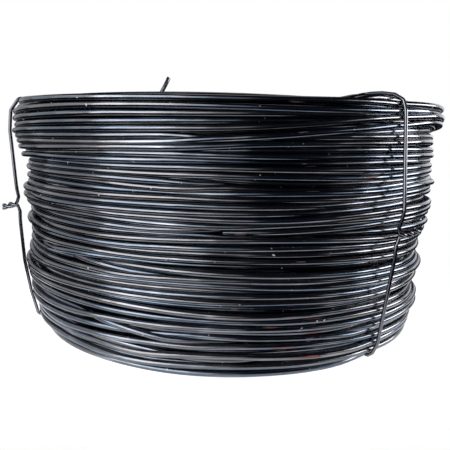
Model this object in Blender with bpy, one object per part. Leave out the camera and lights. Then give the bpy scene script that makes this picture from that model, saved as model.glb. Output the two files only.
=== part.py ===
"""Coil of annealed binding wire, held by four ties of thinner wire.

Metres, +Z up. The coil's axis is Z, and it stands on its lower end at z = 0.
Azimuths are in degrees, from -Y towards +X.
"""
import math
from typing import NamedTuple

import bmesh
import bpy
from mathutils import Vector

# Driving dimensions of the coil
WIRE_DIAMETER = 0.0015
COIL_HEIGHT = 0.0620
BORE_RADIUS = 0.0440
WINDING_DEPTH = 0.0212

# How far the side lies inside the rim at the shoulder, at the belly and at the foot
SHOULDER_INSET = 0.0023
BELLY_INSET = 0.0037
FOOT_INSET = 0.0072

# Heights of the belly and the shoulder, as shares of the coil's height
BELLY_SHARE = 0.29
SHOULDER_SHARE = 0.68

# The turns lie in bands, which meet in shallow waists at these shares of the height
WAIST_SHARES = (0.16, 0.40, 0.55, 0.75, 0.92)
WAIST_DEPTH = 0.0010
WAIST_REACH = 0.0020

# Relief of the turns: the flat crest of each, and how deep the groove between two is
CREST_WIDTH = 0.00070
SIDE_GROOVE = 0.00055
END_GROOVE = 0.00045
BORE_GROOVE = 0.00050
BORE_TURNS_PER_RIB = 3
FACET_ANGLE = 14.0

# Driving dimensions of the ties
TIE_DIAMETER = 0.0009
TIE_CLEARANCE = 0.00035
TIE_SIDES = 6
TIE_POINT_SPACING = 0.0060
KNOT_HEIGHT = 0.0335
TWIST_TURN_LENGTH = 0.0038
TWIST_STRAND_GAP = 0.00012
TWIST_POINTS_PER_TURN = 8

# The ties pull the end turns in, over this height and as far as the next meridians
PINCH_REACH = 0.0160
FOOT_PINCH = 0.0016
TOP_PINCH = 0.0008
CORNER_PULL = 0.0013

# The free inner end of the wire, which leaves the bore's wall and stands up above the coil
END_EXIT_AZIMUTH = 222.0
END_EXIT_DEPTH = 0.0065
END_TIP_AZIMUTH = 216.5
END_TIP_INSET = 0.0065
END_TIP_RISE = 0.0158
END_TIP_LEAN = 0.45
END_EXIT_LEAD = 0.0090
END_TIP_LEAD = 0.0095
END_POINTS = 13
END_SIDES = 8


# The rim stands off the bore by the depth of the winding
RIM_RADIUS = BORE_RADIUS + WINDING_DEPTH

UP = Vector((0.0, 0.0, 1.0))


class Tie(NamedTuple):
    """Where a tie sits, and how its twisted ends lie.

    The twist leaves the knot outward, along the turns and upward in these shares.
    arch is how far the tie stands up in the middle of the upper end.
    """
    name: str
    azimuth: float
    twist_out: float
    twist_along: float
    twist_up: float
    twist_turns: float
    arch: float


TIES = (
    Tie("tie_front_right", 39.5, 0.05, 1.0, 0.02, 2.6, 0.0030),
    Tie("tie_back_right", 129.0, 0.07, 1.0, -0.05, 2.4, 0.0008),
    Tie("tie_back_left", 206.0, 0.07, -1.0, 0.04, 2.4, 0.0008),
    Tie("tie_left", 294.0, 0.66, -0.72, -0.22, 1.6, 0.0006),
)


def remove_all_objects():
    for obj in list(bpy.data.objects):
        bpy.data.objects.remove(obj, do_unlink=True)


def make_material(name, colour, roughness, metallic):
    material = bpy.data.materials.new(name)
    material.use_nodes = True
    shader = material.node_tree.nodes["Principled BSDF"]
    shader.inputs["Base Color"].default_value = (*colour, 1.0)
    shader.inputs["Roughness"].default_value = roughness
    shader.inputs["Metallic"].default_value = metallic
    return material


def object_from_bmesh(name, bm, material):
    mesh = bpy.data.meshes.new(name)
    bmesh.ops.recalc_face_normals(bm, faces=bm.faces)
    bm.to_mesh(mesh)
    bm.free()
    mesh.materials.append(material)
    mesh.shade_smooth()
    mesh.set_sharp_from_angle(angle=math.radians(50))
    obj = bpy.data.objects.new(name, mesh)
    bpy.context.scene.collection.objects.link(obj)
    return obj


def outward(azimuth):
    """Unit vector away from the axis at an azimuth in degrees."""
    angle = math.radians(azimuth)
    return Vector((math.sin(angle), -math.cos(angle), 0.0))


def along(azimuth):
    """Unit vector along the turns at an azimuth, the way that azimuths grow."""
    angle = math.radians(azimuth)
    return Vector((math.cos(angle), math.sin(angle), 0.0))


def place(azimuth, radius, height):
    return outward(azimuth) * radius + UP * height


# Section of the coil

def eased(start, end, share):
    """A value that leaves start and reaches end without a kink at either."""
    return start + (end - start) * share * share * (3.0 - 2.0 * share)


def side_radius(height):
    """Radius over the outer turns: foot, belly, shoulder and flared rim."""
    shoulder = RIM_RADIUS - SHOULDER_INSET
    belly = RIM_RADIUS - BELLY_INSET
    foot = RIM_RADIUS - FOOT_INSET
    share = height / COIL_HEIGHT
    if share < BELLY_SHARE:
        radius = foot + (belly - foot) * math.sin(0.5 * math.pi * share / BELLY_SHARE)
    elif share < SHOULDER_SHARE:
        radius = eased(belly, shoulder, (share - BELLY_SHARE) / (SHOULDER_SHARE - BELLY_SHARE))
    else:
        rise = (share - SHOULDER_SHARE) / (1.0 - SHOULDER_SHARE)
        radius = shoulder + (RIM_RADIUS - shoulder) * math.sin(0.5 * math.pi * rise)
    for waist in WAIST_SHARES:
        off = (height - waist * COIL_HEIGHT) / WAIST_REACH
        radius -= WAIST_DEPTH * math.exp(-off * off)
    return radius


def coil_section():
    """Closed section of the winding as (radius, height), up the outer side."""
    rows = round(COIL_HEIGHT / WIRE_DIAMETER)
    pitch = COIL_HEIGHT / rows
    points = []
    for row in range(rows):
        middle = (row + 0.5) * pitch
        points.append((side_radius(middle), middle - CREST_WIDTH / 2))
        points.append((side_radius(middle), middle + CREST_WIDTH / 2))
        if row < rows - 1:
            seam = (row + 1) * pitch
            points.append((side_radius(seam) - SIDE_GROOVE, seam))
    points += end_section(RIM_RADIUS, COIL_HEIGHT, -END_GROOVE)
    points += bore_section()
    points += reversed(end_section(RIM_RADIUS - FOOT_INSET, 0.0, END_GROOVE))
    return points


def end_section(side, height, groove):
    """The turns on one end, from the outer side to the bore."""
    outer_radius = side - WIRE_DIAMETER / 2
    inner_radius = BORE_RADIUS + WIRE_DIAMETER / 2
    turns = round((outer_radius - inner_radius) / WIRE_DIAMETER)
    pitch = (outer_radius - inner_radius) / turns
    points = []
    for turn in range(turns + 1):
        middle = outer_radius - turn * pitch
        points.append((middle + CREST_WIDTH / 2, height))
        points.append((middle - CREST_WIDTH / 2, height))
        if turn < turns:
            points.append((middle - pitch / 2, height + groove))
    return points


def bore_section():
    """The inner layer, from the upper end down, with a few turns to a rib."""
    low = WIRE_DIAMETER / 2
    high = COIL_HEIGHT - WIRE_DIAMETER / 2
    ribs = round((high - low) / (BORE_TURNS_PER_RIB * WIRE_DIAMETER))
    pitch = (high - low) / ribs
    points = []
    for rib in range(ribs + 1):
        height = high - rib * pitch
        points.append((BORE_RADIUS, height))
        if rib < ribs:
            points.append((BORE_RADIUS + BORE_GROOVE, height - pitch / 2))
    return points


def pinched(point, share):
    """A section point drawn in by a tie; share is 1 at the tie, 0 away from it."""
    radius, height = point
    low = max(0.0, 1.0 - height / PINCH_REACH) ** 2
    high = max(0.0, 1.0 - (COIL_HEIGHT - height) / PINCH_REACH) ** 2
    outer = max(0.0, (radius - BORE_RADIUS) / (RIM_RADIUS - BORE_RADIUS))
    radius -= share * CORNER_PULL * (low + high) * outer ** 2
    height += share * (FOOT_PINCH * low - TOP_PINCH * high)
    return radius, height


# Turned solid of the coil

def meridians():
    """Azimuths of the solid's meridians with how much each one is pinched."""
    ties = sorted(tie.azimuth for tie in TIES)
    result = []
    for index, tie in enumerate(ties):
        following = ties[(index + 1) % len(ties)] + (360.0 if index == len(ties) - 1 else 0.0)
        steps = max(2, round((following - tie) / FACET_ANGLE))
        result.append((tie, 1.0))
        for step in range(1, steps):
            result.append((tie + (following - tie) * step / steps, 0.0))
    return result


def make_coil_body(material):
    """The winding: its section carried round the axis, drawn in at each tie."""
    bm = bmesh.new()
    section = coil_section()
    rings = []
    for azimuth, share in meridians():
        ring = [bm.verts.new(place(azimuth, *pinched(point, share))) for point in section]
        rings.append(ring)
    count = len(section)
    for index, ring in enumerate(rings):
        following = rings[(index + 1) % len(rings)]
        for k in range(count):
            after = (k + 1) % count
            bm.faces.new((ring[k], following[k], following[after], ring[after]))
    return object_from_bmesh("wire_coil", bm, material)


# Tubes that follow a path

def frames_along(path):
    """Tangent and side vector at each point of a path, carried along without twist."""
    last = len(path) - 1
    tangents = []
    for index in range(last + 1):
        before = path[max(0, index - 1)]
        after = path[min(last, index + 1)]
        tangents.append((after - before).normalized())
    side = tangents[0].orthogonal().normalized()
    sides = []
    for tangent in tangents:
        side = (side - tangent * side.dot(tangent)).normalized()
        sides.append(side.copy())
    return tangents, sides


def add_tube(bm, path, diameter, sides):
    """An open path as a closed tube with a flat cap on each end."""
    tangents, side_vectors = frames_along(path)
    rings = []
    for point, tangent, side in zip(path, tangents, side_vectors):
        other = tangent.cross(side)
        ring = []
        for k in range(sides):
            angle = 2.0 * math.pi * k / sides
            offset = side * math.cos(angle) + other * math.sin(angle)
            ring.append(bm.verts.new(point + offset * (diameter / 2)))
        rings.append(ring)
    for ring, following in zip(rings, rings[1:]):
        for k in range(sides):
            after = (k + 1) % sides
            bm.faces.new((ring[k], ring[after], following[after], following[k]))
    bm.faces.new(list(reversed(rings[0])))
    bm.faces.new(rings[-1])


def bezier(points, share):
    """A point of the Bezier curve with these four points."""
    a, b, c, d = points
    rest = 1.0 - share
    near = a * rest ** 3 + b * (3.0 * rest * rest * share)
    far = c * (3.0 * rest * share * share) + d * share ** 3
    return near + far


def join_wire_end(coil, material):
    """The free end of the innermost turn, one piece with the coil."""
    root = place(END_EXIT_AZIMUTH, BORE_RADIUS + WIRE_DIAMETER / 2, COIL_HEIGHT - END_EXIT_DEPTH)
    tip = place(END_TIP_AZIMUTH, BORE_RADIUS - END_TIP_INSET, COIL_HEIGHT + END_TIP_RISE)
    lean = (UP - along(END_TIP_AZIMUTH) * END_TIP_LEAN).normalized()
    exit_guide = root + along(END_EXIT_AZIMUTH) * END_EXIT_LEAD
    guides = (root, exit_guide, tip - lean * END_TIP_LEAD, tip)
    path = [bezier(guides, k / (END_POINTS - 1)) for k in range(END_POINTS)]
    bm = bmesh.new()
    add_tube(bm, path, WIRE_DIAMETER, END_SIDES)
    end = object_from_bmesh("wire_end_tool", bm, material)
    end.hide_render = True
    end.display_type = "WIRE"
    union = coil.modifiers.new("wire end", "BOOLEAN")
    union.operation = "UNION"
    union.solver = "EXACT"
    union.object = end


# Ties

def turn_of(a, b, c):
    """Above zero where the way from a over b to c turns left."""
    return (b[0] - a[0]) * (c[1] - a[1]) - (b[1] - a[1]) * (c[0] - a[0])


def half_hull(points):
    chain = []
    for point in points:
        while len(chain) >= 2 and turn_of(chain[-2], chain[-1], point) <= 1e-9:
            chain.pop()
        chain.append(point)
    return chain[:-1]


def taut_loop():
    """Middle line of a wire drawn tight round the pinched section, up the outer side."""
    offset = TIE_CLEARANCE + TIE_DIAMETER / 2
    section = sorted(pinched(point, 1.0) for point in coil_section())
    corners = [Vector(point) for point in half_hull(section) + half_hull(section[::-1])]
    loop = []
    for index, corner in enumerate(corners):
        into = (corner - corners[index - 1]).normalized()
        out = (corners[(index + 1) % len(corners)] - corner).normalized()
        normal_in = Vector((into.y, -into.x))
        normal_out = Vector((out.y, -out.x))
        middle = (normal_in + normal_out).normalized()
        loop.append(corner + middle * (offset / middle.dot(normal_in)))
    return loop


def spaced(loop):
    """The closed loop with points added where two lie far apart."""
    result = []
    for index, point in enumerate(loop):
        following = loop[(index + 1) % len(loop)]
        parts = math.ceil((following - point).length / TIE_POINT_SPACING)
        result += [point.lerp(following, part / parts) for part in range(parts)]
    return result


def cut_at_knot(loop):
    """The knot on the loop's outer side, and the loop's other points from there on."""
    for index, point in enumerate(loop):
        following = loop[(index + 1) % len(loop)]
        if point.y <= KNOT_HEIGHT < following.y:
            knot = point.lerp(following, (KNOT_HEIGHT - point.y) / (following.y - point.y))
            ordered = loop[index + 1:] + loop[:index + 1]
            return knot, [p for p in ordered if (p - knot).length > 2.0 * TIE_DIAMETER]
    raise ValueError("KNOT_HEIGHT lies outside the coil")


def arched(point, low, high, arch):
    """A point of the loop, lifted where the tie crosses the upper end."""
    if point.y < COIL_HEIGHT - TOP_PINCH:
        return point
    share = (point.x - low) / (high - low)
    return Vector((point.x, point.y + arch * math.sin(math.pi * share)))


def twist_middle(tie, knot, distance):
    """The line that the two ends wind round, at a distance from the knot."""
    radius = knot.x + (TIE_DIAMETER + TWIST_STRAND_GAP) / 2
    azimuth = tie.azimuth + math.degrees(tie.twist_along * distance / radius)
    return place(azimuth, radius + tie.twist_out * distance, knot.y + tie.twist_up * distance)


def twisted_ends(tie, knot):
    """The middle lines of the two ends, from the knot to their tips."""
    radius = (TIE_DIAMETER + TWIST_STRAND_GAP) / 2
    steps = round(tie.twist_turns * TWIST_POINTS_PER_TURN)
    spacing = TWIST_TURN_LENGTH / TWIST_POINTS_PER_TURN
    upper = []
    lower = []
    for step in range(steps + 1):
        middle = twist_middle(tie, knot, (step + 1) * spacing)
        heading = (twist_middle(tie, knot, (step + 2) * spacing) - middle).normalized()
        sideways = heading.cross(UP).normalized()
        upright = sideways.cross(heading)
        angle = 2.0 * math.pi * step / TWIST_POINTS_PER_TURN
        offset = (upright * math.cos(angle) + sideways * math.sin(angle)) * radius
        upper.append(middle + offset)
        lower.append(middle - offset)
    return upper, lower


def make_tie(tie, material):
    """One tie: a loop of wire round the winding, its two ends twisted together."""
    knot, route = cut_at_knot(spaced(taut_loop()))
    low = min(point.x for point in route)
    high = max(point.x for point in route)
    loop = [place(tie.azimuth, *arched(point, low, high, tie.arch)) for point in route]
    upper, lower = twisted_ends(tie, knot)
    bm = bmesh.new()
    add_tube(bm, upper[::-1] + loop + lower, TIE_DIAMETER, TIE_SIDES)
    return object_from_bmesh(tie.name, bm, material)


def build():
    remove_all_objects()
    coil_steel = make_material("black_annealed_steel", (0.035, 0.040, 0.055), 0.34, 0.85)
    tie_steel = make_material("black_tie_steel", (0.028, 0.031, 0.042), 0.38, 0.85)
    coil = make_coil_body(coil_steel)
    join_wire_end(coil, coil_steel)
    for tie in TIES:
        make_tie(tie, tie_steel)


build()
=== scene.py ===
# %% [markdown]
# # A coil of black binding wire
# Binding wire is soft steel, annealed until it is black, and sold as a coil that four short
# pieces of thinner wire hold together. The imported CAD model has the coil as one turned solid.
# This lesson lays the real turns over it, one by one, and gives the steel its finish.

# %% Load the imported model
import math
from typing import NamedTuple

import bpy
import numpy as np
from mathutils import Matrix, Vector


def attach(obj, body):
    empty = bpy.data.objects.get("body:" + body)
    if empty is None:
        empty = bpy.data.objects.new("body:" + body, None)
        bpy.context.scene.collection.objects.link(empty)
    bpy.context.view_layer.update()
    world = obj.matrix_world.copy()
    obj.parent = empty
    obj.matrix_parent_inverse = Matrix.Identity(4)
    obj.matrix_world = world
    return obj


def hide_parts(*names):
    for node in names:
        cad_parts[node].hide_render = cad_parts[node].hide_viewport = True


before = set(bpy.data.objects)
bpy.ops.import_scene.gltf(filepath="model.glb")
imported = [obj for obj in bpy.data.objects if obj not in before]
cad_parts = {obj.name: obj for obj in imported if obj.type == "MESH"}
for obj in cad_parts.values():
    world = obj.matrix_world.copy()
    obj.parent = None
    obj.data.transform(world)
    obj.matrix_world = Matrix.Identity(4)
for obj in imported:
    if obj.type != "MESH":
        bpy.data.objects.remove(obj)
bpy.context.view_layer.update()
MM = 0.001

# %% [markdown]
# ## The camera
# The camera stands where the photograph was taken: just below the coil's upper rim and tipped
# down a little, so that the upper end isn't seen and the lower rim bows. The height, the
# tip and the focal length come from the two ellipses of the rims.

# %% Camera: angles in radians, focal length and centre in pixels
IMAGE_SIZE = 450
FOCAL_PIXELS = 485.3
CAMERA_PLACE = Vector((0.0, -161.5 * MM, 50.6 * MM))
CAMERA_TIP = 0.155
CAMERA_ROLL = 0.023
OFF_CENTRE = (1.2, 2.1)
SENSOR_WIDTH = 36.0
NEAREST = 10.0 * MM

camera_data = bpy.data.cameras.new("photo_camera")
camera_data.sensor_width = SENSOR_WIDTH
camera_data.lens = SENSOR_WIDTH * FOCAL_PIXELS / IMAGE_SIZE
camera_data.shift_x = OFF_CENTRE[0] / IMAGE_SIZE
camera_data.shift_y = OFF_CENTRE[1] / IMAGE_SIZE
camera_data.clip_start = NEAREST
camera = bpy.data.objects.new("photo_camera", camera_data)
tip = Matrix.Rotation(math.pi / 2 - CAMERA_TIP, 4, "X")
roll = Matrix.Rotation(CAMERA_ROLL, 4, "Z")
camera.matrix_world = Matrix.Translation(CAMERA_PLACE) @ tip @ roll
bpy.context.scene.collection.objects.link(camera)
bpy.context.scene.camera = camera
print("lens in mm:", round(camera_data.lens, 2))

# %% [markdown]
# ## How the winding is described
# A winding isn't a stack of rings. One long wire goes round and round, steps over to its next
# place at the back, and lies in bands that rise, dip and cross. So a band is described by the
# heights of its upper and lower edge at a few azimuths on the front, in degrees from the
# camera's side towards +X. Between these columns a smooth curve gives every other height. The
# seam, behind, is the azimuth where one turn ends and the next begins.

# %% Columns and smoothing
WIRE = 1.5 * MM
COIL_HEIGHT = 62.0 * MM
BORE_RADIUS = 44.0 * MM
WIDEST = 65.1 * MM
TURN_POINTS = 144
SEAM = 200.0
COLUMNS = (-60, -40, -20, 0, 20, 40, 60)
EASING_PASSES = 16
azimuths = SEAM + np.arange(TURN_POINTS) * 360.0 / TURN_POINTS
turned = np.arange(TURN_POINTS) / TURN_POINTS


def eased_round(values):
    """One value at each step of azimuth, from values in mm at the columns."""
    values = np.broadcast_to(np.array(values, float), len(COLUMNS))
    level = np.interp(azimuths, COLUMNS, values, period=360.0)
    for _ in range(EASING_PASSES):
        level = (np.roll(level, 1) + 2.0 * level + np.roll(level, -1)) / 4.0
    return level * MM


# %% [markdown]
# ## The bands on the side
# Every line here is an edge between two bands, at the seven columns. From the top: the rim,
# the pair of turns that climbs across it towards the right, the level turns of the middle, the
# fan at the knots and the foot.

# %% Edges between the bands, in mm
RIM_TOP = (63.1, 62.5, 61.8, 61.8, 62.2, 62.9, 63.6)
LIP = (60.9, 60.4, 60.1, 60.2, 60.7, 61.4, 62.1)
SECOND = (59.0, 58.6, 58.5, 58.5, 59.0, 60.1, 60.8)
UNDER = (56.1, 55.9, 55.8, 56.0, 56.9, 58.0, 58.4)
PAIR_TOP = (55.0, 54.9, 55.3, 56.0, 57.8, 60.2, 61.8)
PAIR_MIDDLE = (54.1, 54.0, 54.0, 54.7, 56.3, 58.6, 60.5)
PAIR_LOW = (53.4, 52.8, 52.9, 54.0, 55.8, 58.5, 60.4)
PAIR_END = (51.7, 51.3, 51.6, 52.6, 54.4, 56.9, 58.6)
SHELF_TOP = (51.1, 51.1, 51.6, 52.6, 53.8, 54.5, 55.0)
SHELF = (49.6, 49.7, 50.4, 51.2, 52.1, 52.8, 53.5)
LATE_TOP = (49.7, 49.7, 50.2, 50.4, 50.7, 51.3, 51.6)
LATE = (49.4, 49.4, 49.3, 49.1, 49.1, 49.5, 49.8)
GROOVE = (47.8, 48.0, 47.8, 48.1, 48.0, 48.2, 48.3)
LEVEL = (47.0, 46.7, 46.4, 46.3, 46.5, 46.7, 47.2)
CROSSING = (47.0, 46.7, 46.4, 45.8, 45.6, 46.1, 47.2)
DIP = (46.0, 45.7, 45.2, 44.5, 44.5, 45.1, 46.1)
RISING = (45.4, 44.8, 43.8, 43.5, 43.2, 44.0, 45.0)
HALFWAY = (43.2, 43.0, 42.4, 42.8, 42.4, 43.0, 44.1)
MIDDLE = (42.0, 41.7, 41.4, 41.5, 41.5, 42.1, 43.2)
WAIST = (38.9, 38.8, 38.5, 38.4, 38.8, 39.1, 39.9)
HEM = (38.1, 37.8, 37.0, 36.7, 37.4, 38.4, 38.9)
KNOTS = (37.2, 36.6, 35.6, 35.1, 36.0, 37.2, 37.8)
FAN = (32.9, 32.2, 32.0, 32.9, 33.0, 31.8, 31.4)
CREST = (28.9, 28.6, 28.3, 28.0, 28.0, 27.8, 27.6)
BELLY = (24.5, 24.4, 24.1, 24.0, 23.1, 22.6, 22.0)
RIBBON = (17.8, 17.6, 17.8, 17.6, 17.3, 16.9, 16.4)
WEDGE = (14.5, 14.1, 13.5, 12.9, 12.3, 12.0, 12.0)
WEDGE_END = (13.2, 12.9, 12.7, 12.8, 12.3, 12.0, 12.0)
HOLLOW = (9.0, 8.9, 9.0, 9.0, 7.9, 7.2, 7.0)
HOLLOW_END = (8.0, 7.9, 8.0, 8.8, 7.8, 7.0, 6.8)
FOOT = (4.4, 4.4, 4.4, 5.4, 4.5, 3.6, 3.4)
FLOOR_LINE = (0.9, 0.3, 0.0, 0.0, 0.0, 0.0, 0.1)


class Band(NamedTuple):
    """Turns between two edges. O is a turn that lies out, i one that lies in between."""
    pattern: str
    upper: tuple
    lower: tuple
    depth: tuple = (0.0,)


SIDE_BANDS = (
    Band("O", RIM_TOP, LIP, (0.1,)),
    Band("O", LIP, SECOND, (0, 0, 0, 0, 0, 0.3, 0.8)),
    Band("O", SECOND, (57.4, 57.2, 57.2, 57.3, 57.9, 58.7, 59.0), (0, 0, 0, 0, 0.3, 1.3, 1.5)),
    Band("O", (57.4, 57.2, 57.2, 57.3, 57.9, 58.7, 59.0), UNDER, (0, 0, 0, 0.1, 1.2, 1.6, 1.6)),
    Band("O", PAIR_TOP, PAIR_MIDDLE, (0, 0, 0, 0, 0, -0.1, 0.2)),
    Band("O", PAIR_LOW, PAIR_END, (0, 0, 0, 0, 0, -0.1, 0)),
    Band("O", SHELF_TOP, SHELF, (0, 0, 0, 0, 0.1, 0, 0)),
    Band("O", LATE_TOP, LATE, (1.6, 1.4, 0.3, 0, 0, 0, 0)),
    Band("O", LATE, GROOVE, (0, 0, 0, 0.4, 0.8, 0.9, 0.6)),
    Band("O", GROOVE, LEVEL, (0.6, 0.3, 0, 0, 0.1, 0.2, 0.2)),
    Band("O", CROSSING, DIP, (0.2, 0.1, 0, 0, 0.2, 0.2, 0)),
    Band("O", DIP, RISING, (1.6, 1.3, 0.3, 0.5, 1.0, 1.1, 0.8)),
    Band("O", RISING, HALFWAY, (0, 0, 0, 0.8, 0.7, 0.2, 0)),
    Band("O", HALFWAY, MIDDLE, (0.4, 0.5, 0.5, 0, 0, 0, 0)),
    Band("OO", MIDDLE, WAIST),
    Band("O", WAIST, HEM, (0.8, 0.6, 0.1, 0, 0.3, 1.1, 1.2)),
    Band("O", HEM, KNOTS),
    Band("OiO", KNOTS, FAN, (0, 0, 0, 0.2, 0.1, 0, 0)),
    Band("OOi", FAN, CREST),
    Band("OiO", CREST, BELLY),
    Band("OOiiO", BELLY, RIBBON),
    Band("iOO", RIBBON, WEDGE),
    Band("OiO", WEDGE_END, HOLLOW),
    Band("OiO", HOLLOW_END, FOOT),
    Band("iOO", FOOT, FLOOR_LINE),
)
print("turns on the side:", sum(len(band.pattern) for band in SIDE_BANDS))

# %% [markdown]
# ## The side's outline
# Seen against the light, the side isn't straight. It is drawn in at the foot, flares at the
# rim, and at the left and the right it dips wherever a band was pulled in. Each outline is a
# row of heights and radii, and they blend into each other round the coil.

# %% Outlines of the side: heights and radii in mm
FRONT_AND_BACK = (
    (0, 5, 9, 13, 18, 24, 30, 38, 46, 54, 60, 62),
    (58.2, 59.4, 60.1, 60.7, 61.3, 61.3, 61.7, 62.2, 62.5, 63.0, 63.7, 63.6))
LEFT = (
    (0, 3, 6, 9, 11.5, 14.3, 17, 20, 22.5, 25, 26.6, 29.5, 31.4, 33.9, 36.5, 38.7, 41, 44, 46.7,
     49.5, 51, 51.9, 56, 59, 60.2, 61.2, 62),
    (56.9, 58.2, 58.9, 59.4, 60.3, 60.9, 61.1, 61.0, 60.3, 60.0, 59.3, 61.2, 60.6, 59.6, 61.3,
     61.8, 61.0, 61.7, 60.0, 62.5, 62.3, 63.5, 63.8, 64.0, 63.7, 62.6, 61.2))
RIGHT = (
    (0, 2, 5, 7, 9.5, 12, 14.3, 17, 19.4, 21.8, 24, 27, 30, 32.5, 34.6, 37.5, 39.6, 43, 47.3, 49,
     51.7, 53.6, 55, 57.2, 59, 60.1, 61.1, 62.3),
    (58.7, 59.4, 60.2, 60.2, 61.2, 61.5, 60.6, 60.9, 61.6, 61.2, 60.5, 61.5, 62.2, 62.2, 62.8,
     63.2, 62.4, 62.6, 63.1, 62.5, 63.9, 62.8, 62.9, 61.8, 64.3, 64.5, 65.1, 65.1))
LEFT_AZIMUTH = -68.0
RIGHT_AZIMUTH = 66.0
OUTLINE_REACH = 20.0


def degrees_apart(a, b):
    """The way from azimuth b to azimuth a, between -180 and 180 degrees."""
    return (a - b + 180.0) % 360.0 - 180.0


def side_radius(height, azimuth):
    """Radius over the outermost wire at a height in metres and an azimuth."""
    level = height / MM
    radius = np.interp(level, *FRONT_AND_BACK)
    for outline, where in ((LEFT, LEFT_AZIMUTH), (RIGHT, RIGHT_AZIMUTH)):
        share = np.exp(-(degrees_apart(azimuth, where) / OUTLINE_REACH) ** 2)
        radius = radius + share * (np.interp(level, *outline) - radius)
    return radius * MM


# %% [markdown]
# ## Layers before they settle
# Each turn first gets the place where it would like to lie. It keeps its place round the front
# and steps over to the next one at the back, so a layer is one unbroken wire. A soft wander,
# smooth along the wire, keeps any two turns from running exactly alike. The seed is fixed, so
# the coil is the same every time.

# %% Wanted places of all turns: wander in mm with its reach in degrees
SEED = 7
IN_SHARE = 0.62
IN_DEPTH = 1.15 * MM
HEIGHT_WANDER, HEIGHT_REACH = 0.20, 32.0
DEPTH_WANDER, DEPTH_REACH = 0.50, 26.0
SHARE_OF_TURN = (0.0, 0.18, 0.86, 1.0)
SHARE_OF_STEP = (0.0, 0.5, 0.5, 1.0)
random = np.random.default_rng(SEED)
layers = {}
stepped = np.interp(turned, SHARE_OF_TURN, SHARE_OF_STEP)


def wander(turns, reach):
    """Smooth noise along a wire of several turns; reach is in degrees."""
    noise = random.normal(size=turns * TURN_POINTS)
    steps = np.fft.rfftfreq(noise.size) * TURN_POINTS / 360.0
    soft = np.fft.irfft(np.fft.rfft(noise) * np.exp(-(steps * reach * 2.0) ** 2), noise.size)
    return (soft / soft.std()).reshape(turns, TURN_POINTS)


def add_layer(name, radius, height, firmness=0.0):
    """Keeps a layer's wanted places; a firm layer gives way less."""
    layers[name] = (np.array(radius), np.array(height), firmness)
    print(f"{name}: {len(radius)} turns")


side_heights = []
side_depths = []
for band in SIDE_BANDS:
    upper, lower, depth = map(eased_round, (band.upper, band.lower, band.depth))
    room = np.array([1.0 if kind == "O" else IN_SHARE for kind in band.pattern])
    inward = np.array([0.0 if kind == "O" else IN_DEPTH for kind in band.pattern])
    ends = np.cumsum(room) / room.sum()
    marks = np.concatenate([[0.0], np.arange(len(room)) + 0.5, [len(room)]])
    shares = np.concatenate([[0.0], ends - 0.5 * room / room.sum(), [1.0]])
    for turn in range(len(room)):
        share = np.interp(turn + stepped, marks, shares)
        side_heights.append(upper + (lower - upper) * share)
        side_depths.append(depth + np.interp(turn + stepped, marks[1:-1], inward))
turns = len(side_heights)
heights = np.array(side_heights) + wander(turns, HEIGHT_REACH) * HEIGHT_WANDER * MM
depths = np.array(side_depths) + wander(turns, DEPTH_REACH) * DEPTH_WANDER * MM
add_layer("side", side_radius(heights, azimuths) - depths - WIRE / 2, heights)

# %% [markdown]
# ## Turns that come and go
# Where the bands spread like a fan, a turn from the layer below shows between them. Such a
# stretch rises out of the winding, lies in the gap and sinks again. A few stretches lie across
# their neighbours, and the last two are heaped on the rim under the front right tie.

# %% Stretches between the bands: azimuths, heights in mm, depth in mm
STRETCHES = (
    ((-95, -60, -40, -20, 5), (55.4, 55.3, 55.2, 55.4, 55.8), 0.8),
    ((-95, -60, -40, -20, 5), (53.6, 53.5, 53.3, 53.3, 53.6), 0.0),
    ((-25, 0, 20, 40, 60), (53.4, 54.4, 56.1, 57.8, 58.6), 1.3),
    ((18, 40, 60, 80, 110), (54.9, 56.3, 57.8, 57.0, 55.5), 0.5),
    ((5, 20, 40, 60, 85, 120), (53.2, 53.9, 54.9, 55.6, 55.0, 54.0), 0.1),
    ((-20, 0, 20, 40, 60, 90), (50.6, 50.7, 51.3, 51.9, 52.2, 51.5), 0.8),
    ((-20, 0, 20, 40, 70), (46.2, 46.0, 46.0, 46.3, 46.6), 0.8),
    ((-110, -60, -40, -20, 0), (46.4, 45.6, 45.1, 44.4, 44.2), 0.0),
    ((-50, -20, 0, 20), (38.7, 38.4, 38.4, 38.5), 0.7),
    ((-15, 0, 20, 40, 60, 80), (36.0, 36.7, 36.8, 36.6, 36.4, 36.2), 0.7),
    ((0, 20, 40, 60, 90), (33.4, 34.4, 35.2, 35.6, 35.0), 0.1),
    ((-110, -80, -60, -40, -15), (30.6, 30.9, 30.7, 30.2, 29.6), 0.2),
    ((-80, -45, -36, -27, -13, 5), (25.5, 27.0, 26.0, 25.0, 23.5, 23.0), 0.1),
    ((-85, -62, -52, -36, -23, -12, 8), (13.2, 13.0, 12.6, 12.4, 10.6, 9.0, 8.4), 0.0),
    ((-75, -52, -42, -25, -6, 12), (8.9, 8.5, 7.6, 6.1, 4.5, 4.0), 0.1),
    ((20, 40, 60, 80, 110), (8.2, 9.4, 9.8, 9.6, 9.4), 0.2),
    ((-40, -20, 0, 20, 40), (3.6, 3.4, 3.2, 3.0, 3.0), 0.5),
    ((23, 28, 33, 40, 47), (61.0, 62.4, 63.1, 63.2, 62.0), 0.2),
    ((24, 29, 34, 41, 48), (61.0, 62.6, 63.2, 63.2, 62.0), 2.1),
)
RISE = 24.0
SINK = 2.2
radii = []
heights = []
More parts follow.
